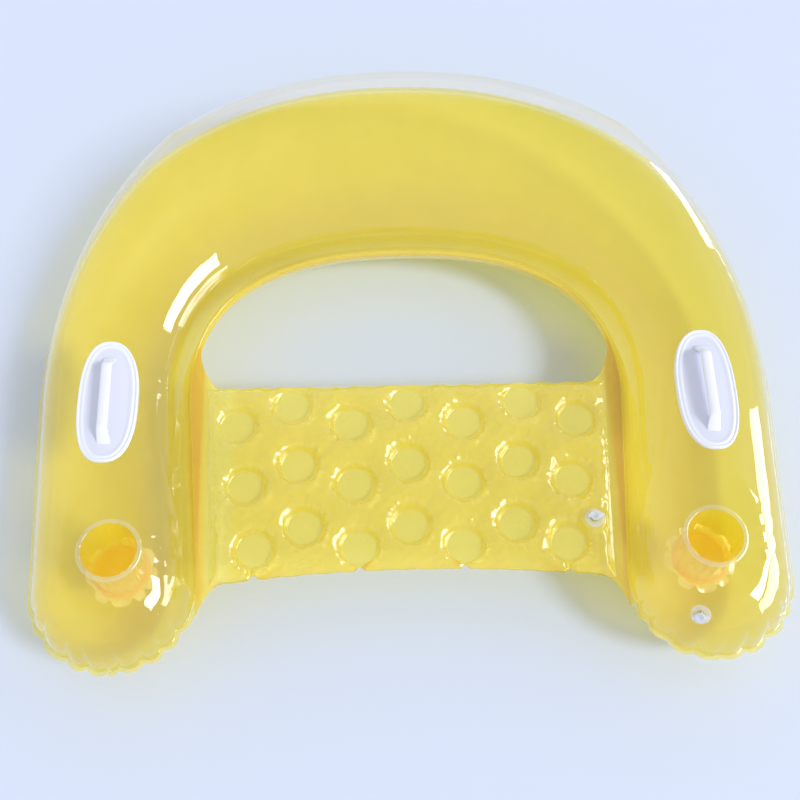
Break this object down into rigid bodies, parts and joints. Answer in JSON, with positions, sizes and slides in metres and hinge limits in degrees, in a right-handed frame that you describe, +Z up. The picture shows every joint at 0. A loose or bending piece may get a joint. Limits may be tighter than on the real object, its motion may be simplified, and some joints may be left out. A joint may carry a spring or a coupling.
{
  "type": "inflatable pool chair",
  "caption": "U-shaped inflatable pool chair: fat back tube and two arms with sunk cup holders, grab handles and air valves, and a quilted seat mat between the arms.",
  "frame": {"origin": "centre of the bounding box in plan, on the plane that the chair lies on", "axes": "+Z up, +Y towards the back tube, -Y towards the arms' ends, +X to the side of the valves"},
  "size_m": [1.177, 1.04, 0.2982],
  "materials": {
    "clear_vinyl": "gloss, clear",
    "yellow_vinyl": "gloss, see-through yellow",
    "white_moulding": "satin gloss",
    "frosted_vinyl": "frosted, see-through"
  },
  "bodies": {
    "chair": {"tube_upper_sheet": "clear_vinyl", "tube_lower_sheet": "yellow_vinyl", "seat_upper_sheet": "yellow_vinyl", "seat_lower_sheet": "yellow_vinyl", "left_cup_rim": "frosted_vinyl", "right_cup_rim": "frosted_vinyl", "left_cup_wall": "yellow_vinyl", "right_cup_wall": "yellow_vinyl", "left_cup_floor": "yellow_vinyl", "right_cup_floor": "yellow_vinyl", "left_handle_plate": "white_moulding", "right_handle_plate": "white_moulding", "left_handle_bar": "white_moulding", "right_handle_bar": "white_moulding", "tube_valve_base": "frosted_vinyl", "seat_valve_base": "frosted_vinyl"},
    "tube_valve_stem": {"tube_valve_stem": "frosted_vinyl"},
    "tube_valve_cap": {"tube_valve_cap": "frosted_vinyl"},
    "tube_valve_flap": {"tube_valve_flap": "frosted_vinyl"},
    "seat_valve_stem": {"seat_valve_stem": "frosted_vinyl"},
    "seat_valve_cap": {"seat_valve_cap": "frosted_vinyl"},
    "seat_valve_flap": {"seat_valve_flap": "frosted_vinyl"}
  },
  "joints": [
    {"name": "tube_valve_push", "type": "slide", "parent": "chair", "child": "tube_valve_stem", "axis": [0.3226, 0.6331, -0.7037], "range_m": [0, 0.008]},
    {"name": "tube_valve_cap_hinge", "type": "hinge", "parent": "tube_valve_stem", "child": "tube_valve_cap", "pos_m": [0.39267, -0.47802, 0.1949], "axis": [0.1199, -0.7648, -0.6331], "range_deg": [0, 150]},
    {"name": "tube_valve_flap_hinge", "type": "hinge", "parent": "tube_valve_stem", "child": "tube_valve_flap", "pos_m": [0.40522, -0.46418, 0.18056], "axis": [-0.1199, 0.7648, 0.6331], "range_deg": [0, 60], "stiffness_Nm_per_rad": 0.001},
    {"name": "seat_valve_push", "type": "slide", "parent": "chair", "child": "seat_valve_stem", "axis": [0, -0.0145, -0.9999], "range_m": [0, 0.008]},
    {"name": "seat_valve_cap_hinge", "type": "hinge", "parent": "seat_valve_stem", "child": "seat_valve_cap", "pos_m": [0.2685, -0.30182, 0.14788], "axis": [0, -0.9999, 0.0145], "range_deg": [0, 150]},
    {"name": "seat_valve_flap_hinge", "type": "hinge", "parent": "seat_valve_stem", "child": "seat_valve_flap", "pos_m": [0.274, -0.30215, 0.12498], "axis": [0, 0.9999, -0.0145], "range_deg": [0, 60], "stiffness_Nm_per_rad": 0.001}
  ]
}
